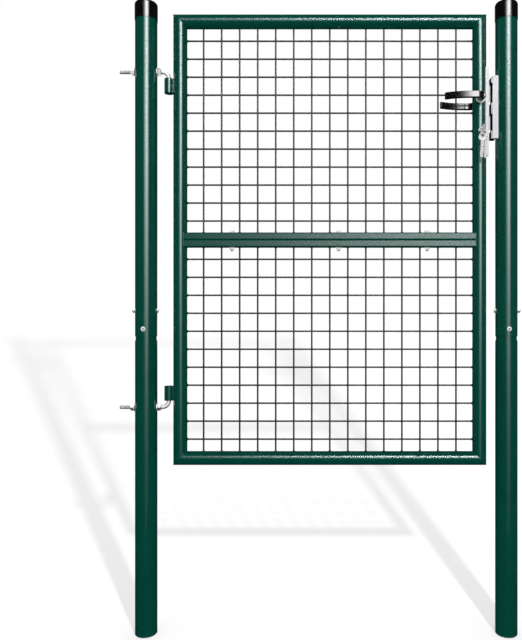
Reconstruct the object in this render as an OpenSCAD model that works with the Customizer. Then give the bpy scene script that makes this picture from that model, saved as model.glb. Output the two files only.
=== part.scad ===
// Swing gate: two round posts, a tubular leaf in two bolted halves with welded
// wire mesh, hook hinges, a lever lock with keys, and a keep on the far post.
// Millimetres. Z is up, X runs from the hinge post to the latch post, and the
// side with the key is -Y. The origin is the centre of the hinge post's foot.

/* [Posts] */
// Distance between the two post axes
post_spacing = 1000; // [700:5:1600]
// Height of a post from its foot to the top of its cap
post_height = 1750; // [1450:5:2200]
// Outer diameter of the post tube
post_d = 60; // [50:0.5:80]
// Wall of the post tube
post_wall = 1.5; // [1.2:0.1:2.5]
// Thickness of the foot plug's flange under the tube
foot_flange = 4; // [3:0.5:12]
// Bevel of the foot plug's lower edge
foot_bevel = 2; // [0.5:0.5:2.5]
// Depth of the foot plug's spigot in the tube
foot_spigot = 24; // [10:1:50]
// Height of the black cap
cap_h = 49; // [30:1:70]
// Wall of the cap's skirt
cap_wall = 1; // [0.8:0.1:2]
// Thickness of the cap's top
cap_top = 6; // [4:0.5:10]
// Rounding of the cap's upper edge
cap_edge = 8; // [3:0.5:8]

/* [Post joint] */
// Height of the joint's shoulder over the lower hinge stud
joint_rise = 184.5; // [120:0.5:260]
// Bare neck between the lower and the upper tube
joint_gap = 12; // [4:0.5:20]
// Length of the neck inside the upper tube
joint_lap = 95; // [85:1:140]
// Height of the front screw over the upper tube's lower end
screw_rise = 20.7; // [12:0.1:35]
// Height of the cross bolt over the upper tube's lower end
cross_rise = 71; // [55:1:75]
// Shank diameter of the front screw
screw_d = 5; // [4:0.5:6.5]
// Diameter of the front screw's flanged head
screw_head_d = 13; // [9:0.5:16]
// Height of the front screw's head
screw_head_h = 3.2; // [2:0.1:5]

/* [Leaf] */
// Height of the leaf's upper half
upper_half_h = 625; // [450:1:900]
// Height of the leaf's lower half
lower_half_h = 624; // [450:1:900]
// Drop from the top of the post caps to the top of the leaf
leaf_drop = 33.3; // [20:0.1:150]
// Outer diameter of the frame tube
frame_d = 38; // [34:0.5:48]
// Wall of the frame tube
frame_wall = 1.5; // [1.2:0.1:2.5]
// Height of one middle bar
bar_h = 20; // [16:0.5:30]
// Depth of the middle bars, front to back
bar_depth = 30; // [24:0.5:34]
// Wall of the middle bars
bar_wall = 1.5; // [1.2:0.1:2.5]
// Outer corner radius of the middle bars
bar_corner = 3.5; // [1:0.25:4]

/* [Mesh] */
// Distance between the mesh wires
mesh_pitch = 50; // [40:1:100]
// Thickness of the mesh wires
wire_d = 4.8; // [3:0.1:6]
// Least room between the outer wires and the frame
mesh_edge = 30; // [15:1:45]

/* [Middle bolts] */
// Nominal diameter of the middle bolts and cross bolts
bolt_d = 8; // [6:1:10]
// Place of the first middle bolt from the hinge post's axis
bolt_x_first = 238; // [150:1:300]
// Place of the middle bolt beside the leaf's centre wire
bolt_x_mid = 534; // [420:1:600]
// Place of the last middle bolt, measured back from the latch post's axis
bolt_x_last = 220; // [150:1:300]

/* [Hinges] */
// Diameter of the hook rods
rod_d = 12; // [10:0.5:14]
// Gap from the hinge post to the left edge of the hinge barrels
hinge_gap = 20.7; // [16:0.1:40]
// Outer diameter of the hinge barrels
barrel_d = 25; // [20:0.5:32]
// Height of the hinge barrels
barrel_h = 40; // [30:1:60]
// Centre-line radius of the hook's bend
bend_r = 18; // [14:0.5:24]
// Length of the rod that stands out behind the hinge post
rod_tail = 43; // [25:1:70]
// Drop from the leaf's top to the upper stud
upper_stud_drop = 158.7; // [120:0.1:260]
// Rise from the leaf's bottom to the lower stud
lower_stud_rise = 160.8; // [120:0.1:260]

/* [Lock] */
// Drop from the leaf's top to the faceplate's top
lock_drop = 146.7; // [100:0.1:200]
// Height of the faceplate
face_h = 247.5; // [240:0.5:290]
// Width of the faceplate
face_w = 24; // [20:0.5:30]
// How far the faceplate stands out of the latch stile
face_proud = 4; // [3:0.1:6]
// Width of the lock case
case_w = 17; // [15:0.5:19]
// Drop from the faceplate's top to the spindle
spindle_drop = 91; // [85:0.5:100]
// Drop from the faceplate's top to the key's axis
key_drop = 180; // [174:0.5:184]
// Side of the square spindle
spindle_w = 8; // [7:0.5:9]
// Height of the latch bolt
latch_h = 44.5; // [30:0.5:46]
// Height of the dead bolt
dead_h = 37; // [25:0.5:38]
// Rise of the dead bolt's lower edge over the key's axis
dead_rise = 7; // [0:0.5:12]
// Width of both bolts
bolt_w = 12; // [8:0.5:12.5]
// How far both bolts stand out of the faceplate
bolt_show = 5.6; // [4:0.1:8]
// Length of the profile cylinder
cylinder_l = 60; // [54:1:80]

/* [Handle] */
// Length of the levers from the spindle's axis
lever_l = 102; // [85:1:130]
// Height of the lever grips
lever_h = 17; // [12:0.5:22]
// Thickness of the lever grips
lever_t = 11; // [8:0.5:13]
// Diameter of the lever necks
neck_d = 18; // [15:0.5:22]
// Diameter of the rosettes
rosette_d = 25; // [22:0.5:30]
// Distance from the leaf's plane to the face of the lever at its elbow
lever_out = 57; // [50:0.5:70]
// Distance from the leaf's plane to the face of the lever at its tip
lever_tip_out = 42.5; // [40:0.5:60]

/* [Keys] */
// Diameter of a key's bow
bow_d = 22; // [20:0.5:27]
// Thickness of the keys
key_t = 2; // [1.5:0.1:2.4]
// Width of a key's blade
blade_w = 8.6; // [7:0.1:9]
// Length of a hanging key, bow and blade
key_l = 67; // [55:1:85]
// Mean radius of the key ring
ring_r = 9.5; // [8:0.5:20]
// Turn of the key ring away from the leaf's plane, in degrees
ring_turn = 35; // [32:1:55]
// Wire of the key ring
ring_wire = 1.6; // [1.2:0.1:2]
// Lean of each hanging key away from the other, in degrees
key_fan = 3; // [0:0.5:8]

/* [Keep] */
// Gap between the bolts' ends and the keep
keep_gap = 5.2; // [5:0.1:10]
// Depth of the keep in front of the latch post
keep_out = 11.4; // [9:0.1:20]
// Width of the keep's channel
keep_w = 30; // [26:0.5:36]
// Height of the keep
keep_h = 173; // [165:1:220]
// Drop from the faceplate's top to the keep's top
keep_drop = 26; // [20:0.5:30]
// Wall of the keep's channel
keep_wall = 2; // [1.5:0.1:3]
// How far the black insert stands out of the channel above and below the bolts
insert_lip = 3.3; // [0:0.1:3.5]

/* [Hidden] */
$fn = 64;

// Fits and small clearances
cap_clear = 0.1; // cap over the tube
neck_clear = 0.15; // neck in the upper tube
foot_clear = 0.15; // foot plug in the tube
hole_clear = 0.2; // radial, round a shank or a rod in its hole
thread_clear = 0.05; // radial, in a nut
hinge_clear = 0.1; // radial, hook rod in its barrel
seat_gap = 0.3; // between parts that carry or hold each other
slide_clear = 0.4; // round a bolt in its faceplate
pocket_clear = 5; // round a bolt in the keep
saddle_clear = 0.05; // radial, a part cut to sit on a tube

// Radii and planes that several parts share
post_r = post_d / 2;
frame_r = frame_d / 2;
tube_z0 = foot_flange;
tube_z1 = post_height - cap_top;
leaf_top = post_height - leaf_drop;
leaf_mid = leaf_top - upper_half_h;
leaf_bottom = leaf_mid - lower_half_h;
top_rail_z = leaf_top - frame_r;
bottom_rail_z = leaf_bottom + frame_r;

// Hinge side, from the hinge post outward
hinge_x = post_r + hinge_gap + barrel_d / 2;
left_stile_x = hinge_x + barrel_d / 2 + frame_r;
upper_stud_z = leaf_top - upper_stud_drop;
lower_stud_z = leaf_bottom + lower_stud_rise;
barrel_r = barrel_d / 2;
upper_barrel_z1 = upper_stud_z - bend_r - 1;
lower_barrel_z0 = lower_stud_z + bend_r + seat_gap;

// Latch side, from the latch post inward
keep_x = post_spacing - post_r - keep_out;
bolt_tip_x = keep_x - keep_gap;
face_x = bolt_tip_x - bolt_show;
right_stile_x = face_x - face_proud - frame_r;

// Post joint
split_z = lower_stud_z + joint_rise;
upper_tube_z0 = split_z + joint_gap;
neck_od = post_d - 2 * post_wall - 2 * neck_clear;
neck_top = upper_tube_z0 + joint_lap;
joint_screw_z = upper_tube_z0 + screw_rise;
joint_bolt_z = upper_tube_z0 + cross_rise;

// Lock heights
face_z1 = leaf_top - lock_drop;
face_z0 = face_z1 - face_h;
spindle_z = face_z1 - spindle_drop;
key_z = face_z1 - key_drop;
latch_z0 = spindle_z - 4;
dead_z0 = key_z + dead_rise;
case_z0 = face_z0 + 24;
case_z1 = face_z1 - 24;
case_x1 = right_stile_x + sqrt(pow(frame_r, 2) - pow(case_w / 2, 2)) - seat_gap;
case_x0 = right_stile_x - sqrt(pow(frame_r - frame_wall, 2) - pow(case_w / 2, 2)) + seat_gap;
rosette_out = frame_r + 3.5;

// Profile cylinder, a common standard section
profile_r = 8.5;
profile_tab_w = 10;
profile_drop = 24.5;
plug_d = 13;
plug_l = 26;

// Keep heights
keep_z1 = face_z1 - keep_drop;
keep_z0 = keep_z1 - keep_h;

// Hexagon sizes of the fasteners
m8_af = 13;
m8_nut_h = 6.5;
m8_head_h = 5.3;
m8_washer_d = 17;
m8_washer_h = 1.6;
m12_af = 19;
m12_nut_h = 10;
m12_washer_d = 24;
m12_washer_h = 2.5;

// Keys: the ring's wire lies in the bow's hole, and swings there
hole_r = 4.5;
spare_hole_r = 4;
hole_edge = 0.5;
bow_rim = 3.5;
bow_neck = 3;
bow_y = -cylinder_l / 2 - 1.5 - bow_neck - bow_d / 2;
ring_y = bow_y - bow_d / 2 + bow_rim + hole_r;
ring_drop = 2.6;
hang_gap = 0.5;
spare_spread = 1.6;

// Extra length of a cutter past the surface it cuts
over = 1;

// ---- Shared shapes ----

module along_x(x, y, z) { translate([x, y, z]) rotate([0, 90, 0]) children(); }

module along_y(x, y, z) { translate([x, y, z]) rotate([-90, 0, 0]) children(); }

// A tube standing on z0
module tube(d, wall, z0, z1) {
    translate([0, 0, z0]) difference() {
        cylinder(d = d, h = z1 - z0);
        translate([0, 0, -over]) cylinder(d = d - 2 * wall, h = z1 - z0 + 2 * over);
    }
}

// A hexagon prism along Z, af across its flats
module hexagon(af, h) { cylinder(d = af / cos(30), h = h, $fn = 6); }

module nut(af, h, d) {
    difference() {
        hexagon(af, h);
        translate([0, 0, -over]) cylinder(d = d + 2 * thread_clear, h = h + 2 * over);
    }
}

module washer(od, h, d) {
    difference() {
        cylinder(d = od, h = h);
        translate([0, 0, -over]) cylinder(d = d + 2 * hole_clear, h = h + 2 * over);
    }
}

module rounded_rect(w, h, r) {
    union() {
        square([w - 2 * r, h], center = true);
        square([w, h - 2 * r], center = true);
        for (sx = [-1, 1], sy = [-1, 1])
            translate([sx * (w / 2 - r), sy * (h / 2 - r)]) circle(r = r);
    }
}

// ---- Posts ----

module post_foot() {
    spigot_r = post_r - post_wall - foot_clear;
    color("#0b4a3e") rotate_extrude() polygon([[0, 0], [post_r - foot_bevel, 0],
        [post_r, foot_bevel], [post_r, foot_flange], [spigot_r, foot_flange],
        [spigot_r, foot_flange + foot_spigot], [0, foot_flange + foot_spigot]]);
}

module post_cap() {
    outer = post_r + cap_clear + cap_wall;
    color("#1b1c1e") translate([0, 0, post_height - cap_h]) rotate_extrude() difference() {
        union() {
            square([outer, cap_h - cap_edge]);
            square([outer - cap_edge, cap_h]);
            translate([outer - cap_edge, cap_h - cap_edge]) circle(r = cap_edge);
        }
        translate([0, -over]) square([post_r + cap_clear, cap_h - cap_top + over]);
    }
}

// The lower tube, necked in to slide into the upper one
module post_lower_tube() {
    inner = post_r - post_wall;
    neck_in = neck_od / 2 - post_wall;
    slope = 0.6;
    rotate_extrude() polygon([[inner, tube_z0], [post_r, tube_z0], [post_r, split_z],
        [neck_od / 2, split_z + slope], [neck_od / 2, neck_top], [neck_in, neck_top],
        [neck_in, split_z + slope - post_wall], [inner, split_z - post_wall]]);
}

// Holes for the joint's front screw and cross bolt
module joint_holes() {
    translate([0, -post_r - over, joint_screw_z]) rotate([-90, 0, 0])
        cylinder(d = screw_d + 2 * hole_clear, h = post_r / 2);
    along_x(-post_r - over, 0, joint_bolt_z)
        cylinder(d = bolt_d + 2 * hole_clear, h = post_d + 2 * over);
}

module stud_hole(z) {
    along_x(-post_r - over, 0, z) cylinder(d = rod_d + 2 * hole_clear, h = post_d + 2 * over);
}

module post_lower(with_stud) {
    color("#004034") difference() {
        post_lower_tube();
        joint_holes();
        if (with_stud) stud_hole(lower_stud_z);
    }
}

module post_upper(with_stud) {
    color("#004034") difference() {
        tube(post_d, post_wall, upper_tube_z0, tube_z1);
        joint_holes();
        if (with_stud) stud_hole(upper_stud_z);
        else translate([-post_spacing, 0, 0]) keep_screw_holes();
    }
}

module joint_screw() {
    translate([0, -post_r, joint_screw_z]) rotate([-90, 0, 0]) union() {
        translate([0, 0, -screw_head_h]) cylinder(d = screw_head_d, h = screw_head_h);
        translate([0, 0, -over]) cylinder(d = screw_d, h = 12 + over);
    }
}

// side is 1 where the nut is on +X, -1 where it is on -X
module joint_bolt(side) {
    shank = post_d + m8_nut_h + 2.5;
    translate([0, 0, joint_bolt_z]) rotate([0, 90 * side, 0]) union() {
        translate([0, 0, -post_r - m8_head_h]) hexagon(m8_af, m8_head_h);
        translate([0, 0, -post_r - over]) cylinder(d = bolt_d, h = shank + over);
    }
}

module joint_nut(side) {
    translate([0, 0, joint_bolt_z]) rotate([0, 90 * side, 0])
        translate([0, 0, post_r]) nut(m8_af, m8_nut_h, bolt_d);
}

module post_feet() {
    post_foot();
    translate([post_spacing, 0, 0]) post_foot();
}

module left_post_lower() { post_lower(true); }

module right_post_lower() { translate([post_spacing, 0, 0]) post_lower(false); }

module left_post_upper() { post_upper(true); }

module right_post_upper() { translate([post_spacing, 0, 0]) post_upper(false); }

module post_caps() {
    post_cap();
    translate([post_spacing, 0, 0]) post_cap();
}

module joint_screws() {
    color("silver") for (x = [0, post_spacing]) translate([x, 0, 0]) joint_screw();
}

module joint_bolts() {
    color("silver") union() {
        joint_bolt(-1);
        translate([post_spacing, 0, 0]) joint_bolt(1);
    }
}

module joint_nuts() {
    color("silver") union() {
        joint_nut(-1);
        translate([post_spacing, 0, 0]) joint_nut(1);
    }
}

// ---- Hinges ----

// A bent rod: through the post, round the bend and into the barrel.
// turn is -1 for a hook that points down, 1 for one that points up.
module hook(stud_z, turn, reach) {
    straight = hinge_x - bend_r + post_r + rod_tail;
    color("silver") translate([0, 0, stud_z]) union() {
        along_x(-post_r - rod_tail, 0, 0) cylinder(d = rod_d, h = straight);
        translate([hinge_x - bend_r, 0, turn * bend_r]) rotate([90, 0, 0])
            rotate([0, 0, turn < 0 ? 0 : -90]) rotate_extrude(angle = 90)
                translate([bend_r, 0]) circle(d = rod_d);
        translate([hinge_x, 0, turn > 0 ? bend_r : -bend_r - reach])
            cylinder(d = rod_d, h = reach);
    }
}

module upper_hinge_hook() { hook(upper_stud_z, -1, 36); }

module lower_hinge_hook() { hook(lower_stud_z, 1, 36); }

// Places of the four nut and washer pairs, with the way each one faces
module at_hinge_nuts() {
    for (z = [upper_stud_z, lower_stud_z], side = [-1, 1])
        translate([side * post_r, 0, z]) rotate([0, 90 * side, 0]) children();
}

module hinge_nuts() {
    color("silver") at_hinge_nuts()
        translate([0, 0, m12_washer_h]) nut(m12_af, m12_nut_h, rod_d);
}

module hinge_washers() {
    color("silver") at_hinge_nuts() washer(m12_washer_d, m12_washer_h, rod_d);
}

// A barrel with the weld that joins it to the hinge stile
module barrel(z0) {
    weld_w = 9;
    color("#004034") difference() {
        union() {
            translate([hinge_x, 0, z0]) cylinder(d = barrel_d, h = barrel_h);
            translate([hinge_x, -weld_w / 2, z0]) cube([barrel_r + 2, weld_w, barrel_h]);
        }
        translate([hinge_x, 0, z0 - over])
            cylinder(d = rod_d + 2 * hinge_clear, h = barrel_h + 2 * over);
        translate([left_stile_x, 0, z0 - over])
            cylinder(r = frame_r + saddle_clear, h = barrel_h + 2 * over);
    }
}

module upper_hinge_barrel() { barrel(upper_barrel_z1 - barrel_h); }

module lower_hinge_barrel() { barrel(lower_barrel_z0); }

// ---- Leaf frame ----

// The half space past a mitre at a corner of the leaf. sx is 1 at the latch
// stile and -1 at the hinge stile, sz is 1 at the top and -1 at the bottom;
// the corner that stays is the rail's.
module mitre_cut(sx, sz) {
    big = 4 * frame_d;
    translate([sx > 0 ? right_stile_x : left_stile_x, 0, sz > 0 ? top_rail_z : bottom_rail_z])
        rotate([0, sx * sz * 45, 0]) translate([sx > 0 ? 0 : -big, -big / 2, -big / 2])
            cube([big, big, big]);
}

module rail(z, sz) {
    color("#004034") difference() {
        along_x(left_stile_x - frame_r, 0, z) difference() {
            cylinder(d = frame_d, h = right_stile_x - left_stile_x + frame_d);
            translate([0, 0, -over]) cylinder(d = frame_d - 2 * frame_wall,
                h = right_stile_x - left_stile_x + frame_d + 2 * over);
        }
        mitre_cut(-1, sz);
        mitre_cut(1, sz);
    }
}

module stile(x, z0, z1) { translate([x, 0, 0]) tube(frame_d, frame_wall, z0, z1); }

// The part of a stile beyond its mitre is the rail's
module stile_mitre(sx, sz) {
    big = 4 * frame_d;
    translate([sx > 0 ? right_stile_x : left_stile_x, 0, sz > 0 ? top_rail_z : bottom_rail_z])
        rotate([0, sx * sz * 45, 0]) translate([sx > 0 ? -big : 0, -big / 2, -big / 2])
            cube([big, big, big]);
}

module top_rail() { rail(top_rail_z, 1); }

module bottom_rail() { rail(bottom_rail_z, -1); }

module upper_left_stile() {
    color("#004034") difference() {
        stile(left_stile_x, leaf_mid, leaf_top);
        stile_mitre(-1, 1);
    }
}

module lower_left_stile() {
    color("#004034") difference() {
        stile(left_stile_x, leaf_bottom, leaf_mid);
        stile_mitre(-1, -1);
    }
}

module lower_right_stile() {
    color("#004034") difference() {
        stile(right_stile_x, leaf_bottom, leaf_mid);
        stile_mitre(1, -1);
    }
}

module upper_right_stile() {
    slot_w = case_w + 2 * slide_clear;
    color("#004034") difference() {
        stile(right_stile_x, leaf_mid, leaf_top);
        stile_mitre(1, 1);
        translate([right_stile_x, -slot_w / 2, case_z0 - slide_clear])
            cube([frame_d, slot_w, case_z1 - case_z0 + 2 * slide_clear]);
        along_y(right_stile_x, -frame_d, spindle_z) cylinder(d = 14, h = 2 * frame_d);
        cylinder_profile(2 * frame_d, hole_clear);
    }
}

module middle_bar(z0) {
    color("#004034") difference() {
        translate([left_stile_x, 0, z0 + bar_h / 2]) rotate([90, 0, 90]) difference() {
            linear_extrude(height = right_stile_x - left_stile_x)
                rounded_rect(bar_depth, bar_h, bar_corner);
            translate([0, 0, -over]) linear_extrude(height = right_stile_x - left_stile_x + 2 * over)
                rounded_rect(bar_depth - 2 * bar_wall, bar_h - 2 * bar_wall, bar_corner / 2);
        }
        for (x = [left_stile_x, right_stile_x]) translate([x, 0, z0 - over])
            cylinder(r = frame_r + saddle_clear, h = bar_h + 2 * over);
        at_middle_bolts() translate([0, 0, z0 - over])
            cylinder(d = bolt_d + 2 * hole_clear, h = bar_h + 2 * over);
    }
}

module upper_middle_bar() { middle_bar(leaf_mid); }

module lower_middle_bar() { middle_bar(leaf_mid - bar_h); }

module at_middle_bolts() {
    for (x = [bolt_x_first, bolt_x_mid, post_spacing - bolt_x_last])
        translate([x, 0, 0]) children();
}

module middle_bolts() {
    top = leaf_mid + bar_h + m8_washer_h;
    end = leaf_mid - bar_h - m8_washer_h - m8_nut_h - 2.5;
    color("silver") at_middle_bolts() union() {
        translate([0, 0, top]) hexagon(m8_af, m8_head_h);
        translate([0, 0, end]) cylinder(d = bolt_d, h = top - end + over);
    }
}

module middle_nuts() {
    color("silver") at_middle_bolts()
        translate([0, 0, leaf_mid - bar_h - m8_washer_h - m8_nut_h])
            nut(m8_af, m8_nut_h, bolt_d);
}

module middle_washers() {
    color("silver") at_middle_bolts() union() {
        translate([0, 0, leaf_mid + bar_h]) washer(m8_washer_d, m8_washer_h, bolt_d);
        translate([0, 0, leaf_mid - bar_h - m8_washer_h])
            washer(m8_washer_d, m8_washer_h, bolt_d);
    }
}

// ---- Mesh ----

// Welded wires that fill an opening from z0 to z1: upright wires in front,
// level wires behind, sunk a little into each other where they are welded
module mesh_panel(z0, z1) {
    x0 = left_stile_x + frame_r;
    x1 = right_stile_x - frame_r;
    wires_x = floor((x1 - x0 - 2 * mesh_edge) / mesh_pitch);
    wires_z = floor((z1 - z0 - 2 * mesh_edge) / mesh_pitch);
    first_x = (x0 + x1 - wires_x * mesh_pitch) / 2;
    first_z = (z0 + z1 - wires_z * mesh_pitch) / 2;
    off = wire_d * 0.45;
    color("#173f37") union() {
        for (i = [0 : wires_x])
            translate([first_x + i * mesh_pitch, -off, z0 + seat_gap])
                rotate([0, 0, 22.5]) cylinder(d = wire_d, h = z1 - z0 - 2 * seat_gap, $fn = 8);
        for (i = [0 : wires_z])
            along_x(x0 + seat_gap, off, first_z + i * mesh_pitch)
                rotate([0, 0, 22.5]) cylinder(d = wire_d, h = x1 - x0 - 2 * seat_gap, $fn = 8);
    }
}

module upper_mesh() { mesh_panel(leaf_mid + bar_h, top_rail_z - frame_r); }

module lower_mesh() { mesh_panel(bottom_rail_z + frame_r, leaf_mid - bar_h); }

// ---- Lock ----

// The keyhole-shaped section of the profile cylinder, along Y
module cylinder_profile(l, clear) {
    r = profile_r + clear;
    w = profile_tab_w + 2 * clear;
    union() {
        along_y(right_stile_x, -l / 2, key_z) cylinder(r = r, h = l);
        translate([right_stile_x - w / 2, -l / 2, key_z - profile_drop - clear])
            cube([w, l, profile_drop + clear]);
    }
}

module lock_case() {
    cavity_w = bolt_w + 2 * slide_clear;
    color("#9a9d9f") difference() {
        translate([case_x0, -case_w / 2, case_z0])
            cube([case_x1 - case_x0, case_w, case_z1 - case_z0]);
        along_y(right_stile_x, -case_w, spindle_z) cylinder(d = 13, h = 2 * case_w);
        cylinder_profile(2 * case_w, hole_clear);
        translate([right_stile_x + spindle_w, -cavity_w / 2, latch_z0 - slide_clear])
            cube([frame_d, cavity_w, latch_h + 2 * slide_clear]);
        translate([right_stile_x + profile_r + 1, -cavity_w / 2, dead_z0 - slide_clear])
            cube([frame_d, cavity_w, dead_h + 2 * slide_clear]);
    }
}

module at_face_screws() {
    for (z = [face_z0 + 12, face_z1 - 12]) along_x(face_x, 0, z) children();
}

module lock_faceplate() {
    hole_w = bolt_w + 2 * slide_clear;
    color("#c3c7c8") difference() {
        translate([right_stile_x + 1, -face_w / 2, face_z0])
            cube([face_x - right_stile_x - 1, face_w, face_h]);
        translate([right_stile_x, 0, face_z0 - over])
            cylinder(r = frame_r + saddle_clear, h = face_h + 2 * over);
        translate([right_stile_x, -hole_w / 2, latch_z0 - slide_clear])
            cube([frame_d, hole_w, latch_h + 2 * slide_clear]);
        translate([right_stile_x, -hole_w / 2, dead_z0 - slide_clear])
            cube([frame_d, hole_w, dead_h + 2 * slide_clear]);
        at_face_screws() translate([0, 0, -1.8]) cylinder(r1 = 2.4, r2 = 4.4, h = 2);
        at_face_screws() translate([0, 0, -frame_r]) cylinder(r = 2.4, h = frame_r);
    }
}

module faceplate_screws() {
    color("silver") at_face_screws() union() {
        translate([0, 0, -2]) cylinder(r1 = 2.1, r2 = 4.1, h = 1.9);
        translate([0, 0, -face_proud + 0.3]) cylinder(r = 2.1, h = face_proud - 2);
    }
}

module lock_cylinder() {
    color("#b9bdbf") difference() {
        cylinder_profile(cylinder_l, 0);
        along_y(right_stile_x, -cylinder_l / 2 - over, key_z)
            cylinder(d = plug_d + 2 * hinge_clear, h = plug_l + seat_gap + over);
    }
}

module rosettes() {
    color("#c9cccd") difference() {
        along_y(right_stile_x, -rosette_out, spindle_z)
            cylinder(d = rosette_d, h = 2 * rosette_out);
        along_y(right_stile_x, -rosette_out - over, spindle_z)
            cylinder(d = 12.2, h = 2 * rosette_out + 2 * over);
        translate([right_stile_x, 0, spindle_z - rosette_d])
            cylinder(r = frame_r + saddle_clear, h = 2 * rosette_d);
    }
}

// One lever: side is -1 at the front and 1 at the rear
module lever(side) {
    neck_r = neck_d / 2;
    start = rosette_out + seat_gap;
    // The grip's outer face arches back from the elbow to the tip
    bend_x = -16;
    function arch(x) = lever_out
        - (lever_out - lever_tip_out) * pow((bend_x - x) / (lever_l + bend_x), 2.6);
    grip = [for (i = [0 : 6]) bend_x - (lever_l + bend_x) * i / 6];
    elbow = lever_t + 11;
    color("#141517") translate([right_stile_x, 0, spindle_z]) difference() {
        union() {
            translate([0, 0, -lever_h / 2]) linear_extrude(height = lever_h) polygon(concat(
                [for (x = grip) [x, side * arch(x)]],
                [for (i = [6 : -1 : 1]) [grip[i] + 1.5 * i / 6, side * (arch(grip[i]) - lever_t)]],
                [[-neck_r - 8, side * (lever_out - lever_t - 1)],
                    [-neck_r + 1, side * (lever_out - lever_t - 8)]],
                [for (a = [0 : 15 : 75]) [bend_x + elbow * cos(a),
                    side * (lever_out - elbow + elbow * sin(a))]]));
            along_y(0, side > 0 ? start : -lever_out + 6, 0)
                cylinder(d = neck_d, h = lever_out - 6 - start);
        }
        translate([-spindle_w / 2 - 0.1, -lever_out + 10, -spindle_w / 2 - 0.1])
            cube([spindle_w + 0.2, 2 * lever_out - 20, spindle_w + 0.2]);
    }
}

module front_lever() { lever(-1); }

module rear_lever() { lever(1); }

module spindle() {
    l = 2 * (lever_out - 10.5);
    color("#8d9193") translate([right_stile_x - spindle_w / 2, -l / 2, spindle_z - spindle_w / 2])
        cube([spindle_w, l, spindle_w]);
}

// ---- Bolts ----

module latch_bolt() {
    x0 = right_stile_x + spindle_w / 2 + 11;
    x1 = bolt_tip_x;
    color("#c9cccd") intersection() {
        translate([0, 0, latch_z0]) linear_extrude(height = latch_h) polygon([
            [x0, -bolt_w / 2], [x1, -bolt_w / 2], [x1, -bolt_w / 6],
            [x1 - bolt_show, bolt_w / 2], [x0, bolt_w / 2]]);
        bolt_side(x0, x1, latch_z0, latch_h);
    }
}

module dead_bolt() {
    x0 = right_stile_x + profile_r + 1.8;
    color("#c9cccd") bolt_side(x0, bolt_tip_x, dead_z0, dead_h);
}

// A bolt seen from the front: a block with its two outer corners bevelled
module bolt_side(x0, x1, z0, h) {
    bevel = 2;
    translate([0, bolt_w / 2, 0]) rotate([90, 0, 0]) linear_extrude(height = bolt_w)
        polygon([[x0, z0], [x1 - bevel, z0], [x1, z0 + bevel], [x1, z0 + h - bevel],
            [x1 - bevel, z0 + h], [x0, z0 + h]]);
}

// ---- Keys ----

module lock_plug() {
    color("#a08a55") difference() {
        along_y(right_stile_x, -cylinder_l / 2, key_z) cylinder(d = plug_d, h = plug_l);
        translate([right_stile_x - key_t / 2 - 0.15, -cylinder_l / 2 - over, key_z - blade_w / 2 - 0.15])
            cube([key_t + 0.3, plug_l - 2 + over, blade_w + 0.3]);
    }
}

// The key in the lock: blade along Y, bow upright
module key() {
    blade = plug_l - 3;
    color("#c9cccd") translate([right_stile_x - key_t / 2, 0, key_z]) rotate([90, 0, 90])
        difference() {
            linear_extrude(height = key_t) difference() {
                union() {
                    translate([bow_y, 0]) circle(d = bow_d);
                    translate([bow_y, -blade_w / 2])
                        square([-cylinder_l / 2 + blade - bow_y, blade_w]);
                }
                translate([ring_y, 0]) circle(r = hole_r);
            }
            // Eased edges of the hole, where the ring's wire leans as it swings
            for (flip = [0, 1]) translate([ring_y, 0, flip * key_t]) mirror([0, 0, flip])
                translate([0, 0, -hole_edge])
                    cylinder(r1 = hole_r + 2 * hole_edge, r2 = hole_r, h = 2 * hole_edge);
        }
}

module key_ring() {
    color("#c9cccd") translate([right_stile_x, ring_y, key_z - ring_drop - ring_r])
        rotate([0, 0, ring_turn]) rotate([90, 0, 0]) rotate_extrude()
            translate([ring_r, 0]) circle(d = ring_wire);
}

// A hanging key, drawn from the centre of its hole, bow up and blade down
module spare_key() {
    hang = bow_d / 2 - bow_rim - spare_hole_r;
    blade = key_l - bow_d;
    translate([0, key_t / 2, 0]) rotate([90, 0, 0]) linear_extrude(height = key_t) difference() {
        union() {
            translate([0, -hang]) circle(d = bow_d);
            translate([-blade_w / 2, -hang - bow_d / 2 - blade + 3]) square([blade_w, blade + 3]);
            polygon([[-blade_w / 2, -hang - bow_d / 2 - blade + 3], [blade_w / 2, -hang - bow_d / 2 - blade + 3],
                [blade_w / 5, -hang - bow_d / 2 - blade], [-blade_w / 4, -hang - bow_d / 2 - blade]]);
        }
        circle(r = spare_hole_r);
    }
}

module spare_keys() {
    // The ring's wire climbs from its lowest point to the outer face of a key,
    // and the hole's round edge drops over the width that the wire crosses
    reach = (spare_spread + key_t / 2) / sin(ring_turn);
    climb = ring_r - sqrt(pow(ring_r, 2) - pow(reach, 2));
    cross = (key_t / 2 * cos(ring_turn) + ring_wire / 2) / sin(ring_turn);
    edge_drop = spare_hole_r - sqrt(pow(spare_hole_r, 2) - pow(cross, 2));
    hole_z = key_z - ring_drop - 2 * ring_r + ring_wire / 2 + climb + edge_drop + hang_gap
        - spare_hole_r;
    color("#c9cccd") for (s = [-1, 1])
        translate([right_stile_x + s * spare_spread / tan(ring_turn), ring_y + s * spare_spread, hole_z])
            rotate([0, -s * key_fan, 0]) spare_key();
}

// ---- Keep ----

module at_keep_screws() {
    for (z = [keep_z0 + 9, keep_z1 - 9]) along_x(keep_x, 0, z) children();
}

module keep_screw_holes() {
    at_keep_screws() cylinder(d = 4.2 + 2 * hole_clear, h = post_r);
}

module keep_body(clear) {
    translate([keep_x, -keep_w / 2, keep_z0])
        cube([post_r + keep_out - clear, keep_w, keep_h]);
}

// The hollow of the channel, open to the leaf and at both ends
module keep_hollow(clear) {
    w = keep_w - 2 * keep_wall - 2 * clear;
    translate([keep_x - over, -w / 2, keep_z0 - over])
        cube([keep_out - 3 - clear + over, w, keep_h + 2 * over]);
}

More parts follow.
